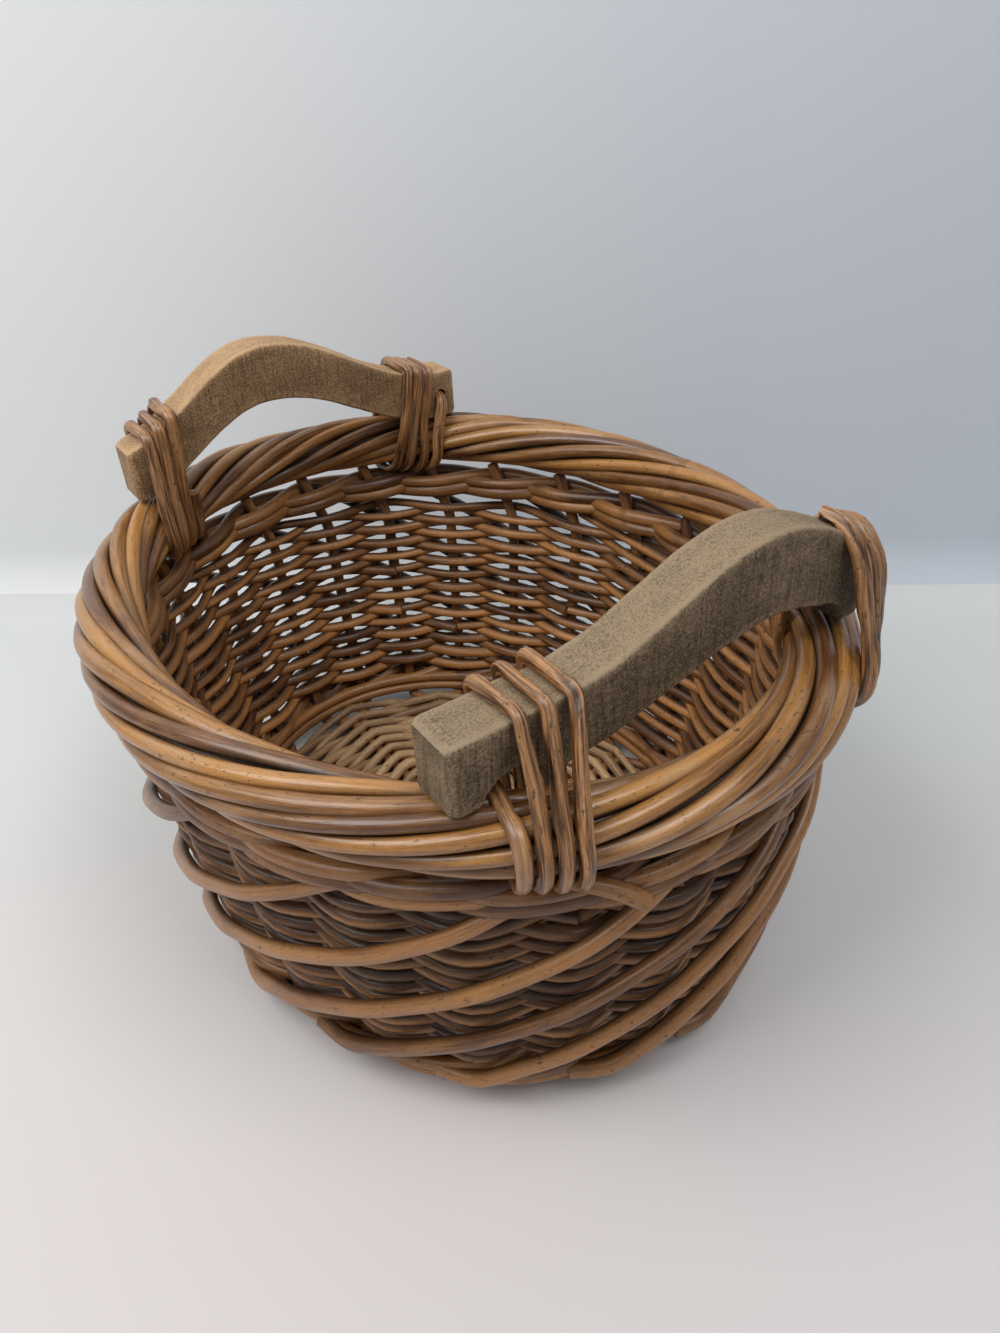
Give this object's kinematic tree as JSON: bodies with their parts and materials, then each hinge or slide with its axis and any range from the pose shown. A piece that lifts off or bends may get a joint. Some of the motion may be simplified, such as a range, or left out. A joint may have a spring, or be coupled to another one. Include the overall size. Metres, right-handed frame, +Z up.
{
  "type": "wicker gathering basket",
  "caption": "Open oval basket of woven willow rods with a rolled rope border and carved wooden bow handles lashed across its ends, for gathering and carrying crops.",
  "frame": {"origin": "centre of the foot, at floor level", "axes": "+Z up, +Y along the mouth's long axis from the front handle to the back one, +X along the handles"},
  "size_m": [0.346, 0.4114, 0.2739],
  "materials": {
    "border_willow": "satin",
    "wall_willow": "satin",
    "stake_willow": "matte",
    "base_willow": "matte",
    "lashing_willow": "satin",
    "handle_wood": "matte"
  },
  "bodies": {
    "root": {"long_stake_1": "stake_willow", "long_stake_2": "stake_willow", "long_stake_3": "stake_willow", "long_stake_4": "stake_willow", "long_stake_5": "stake_willow", "long_stake_6": "stake_willow", "cross_stake_1": "stake_willow", "cross_stake_2": "stake_willow", "cross_stake_3": "stake_willow", "cross_stake_4": "stake_willow", "cross_stake_5": "stake_willow", "cross_stake_6": "stake_willow", "base_weaver": "base_willow", "wall_rod_1": "wall_willow", "wall_rod_2": "wall_willow", "wall_rod_3": "wall_willow", "foot_wale_rod_1": "wall_willow", "foot_wale_rod_2": "wall_willow", "top_wale_rod_1": "wall_willow", "top_wale_rod_2": "wall_willow", "climbing_rod_01": "border_willow", "climbing_rod_02": "border_willow", "climbing_rod_03": "border_willow", "climbing_rod_04": "border_willow", "climbing_rod_05": "border_willow", "climbing_rod_06": "border_willow", "climbing_rod_07": "border_willow", "climbing_rod_08": "border_willow", "climbing_rod_09": "border_willow", "climbing_rod_10": "border_willow", "climbing_rod_11": "border_willow", "climbing_rod_12": "border_willow", "climbing_rod_13": "border_willow", "climbing_rod_14": "border_willow", "climbing_rod_15": "border_willow", "climbing_rod_16": "border_willow", "border_core": "stake_willow", "border_rod_1": "border_willow", "border_rod_2": "border_willow", "border_rod_3": "border_willow", "border_rod_4": "border_willow", "border_rod_5": "border_willow", "border_rod_6": "border_willow", "border_rod_7": "border_willow", "border_rod_8": "border_willow", "border_rod_9": "border_willow", "border_rod_10": "border_willow", "front_handle": "handle_wood", "back_handle": "handle_wood", "front_left_lashing": "lashing_willow", "front_right_lashing": "lashing_willow", "back_left_lashing": "lashing_willow", "back_right_lashing": "lashing_willow"}
  },
  "joints": []
}
